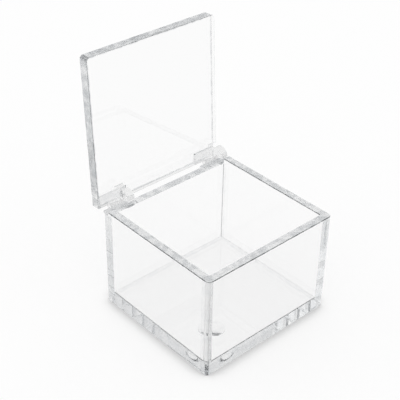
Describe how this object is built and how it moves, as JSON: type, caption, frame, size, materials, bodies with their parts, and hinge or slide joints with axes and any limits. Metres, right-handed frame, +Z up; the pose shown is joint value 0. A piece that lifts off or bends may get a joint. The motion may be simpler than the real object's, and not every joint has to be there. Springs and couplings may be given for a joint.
{
  "type": "acrylic storage box with hinged lid",
  "caption": "Clear acrylic storage box with thick flat walls and a thick flat lid on small clear hinges, shown open.",
  "frame": {"origin": "centre of the flat underside of the box", "axes": "+Z up, +Y towards the hinge side, +X to the right seen from the front"},
  "size_m": [0.1016, 0.1145, 0.1662],
  "materials": {
    "clear_acrylic_box": "clear cast acrylic sheet, polished faces and edges",
    "clear_acrylic_lid": "clear cast acrylic sheet, polished faces and edges",
    "clear_moulded_hinge": "clear moulded plastic, glossy",
    "clear_hinge_pin": "clear plastic rod",
    "clear_soft_pad": "clear soft plastic, smooth dome"
  },
  "bodies": {
    "box": {"base": "clear_acrylic_box", "front_wall": "clear_acrylic_box", "back_wall": "clear_acrylic_box", "left_wall": "clear_acrylic_box", "right_wall": "clear_acrylic_box", "floor_pad": "clear_soft_pad", "left_box_leaf": "clear_moulded_hinge", "left_hinge_pin": "clear_hinge_pin", "right_box_leaf": "clear_moulded_hinge", "right_hinge_pin": "clear_hinge_pin"},
    "lid": {"lid_plate": "clear_acrylic_lid", "left_lid_leaf": "clear_moulded_hinge", "right_lid_leaf": "clear_moulded_hinge"}
  },
  "joints": [
    {"name": "lid_hinge", "type": "hinge", "parent": "box", "child": "lid", "pos_m": [0, 0.05105, 0.0675], "axis": [1, 0, 0], "range_deg": [0, 92.9]}
  ]
}
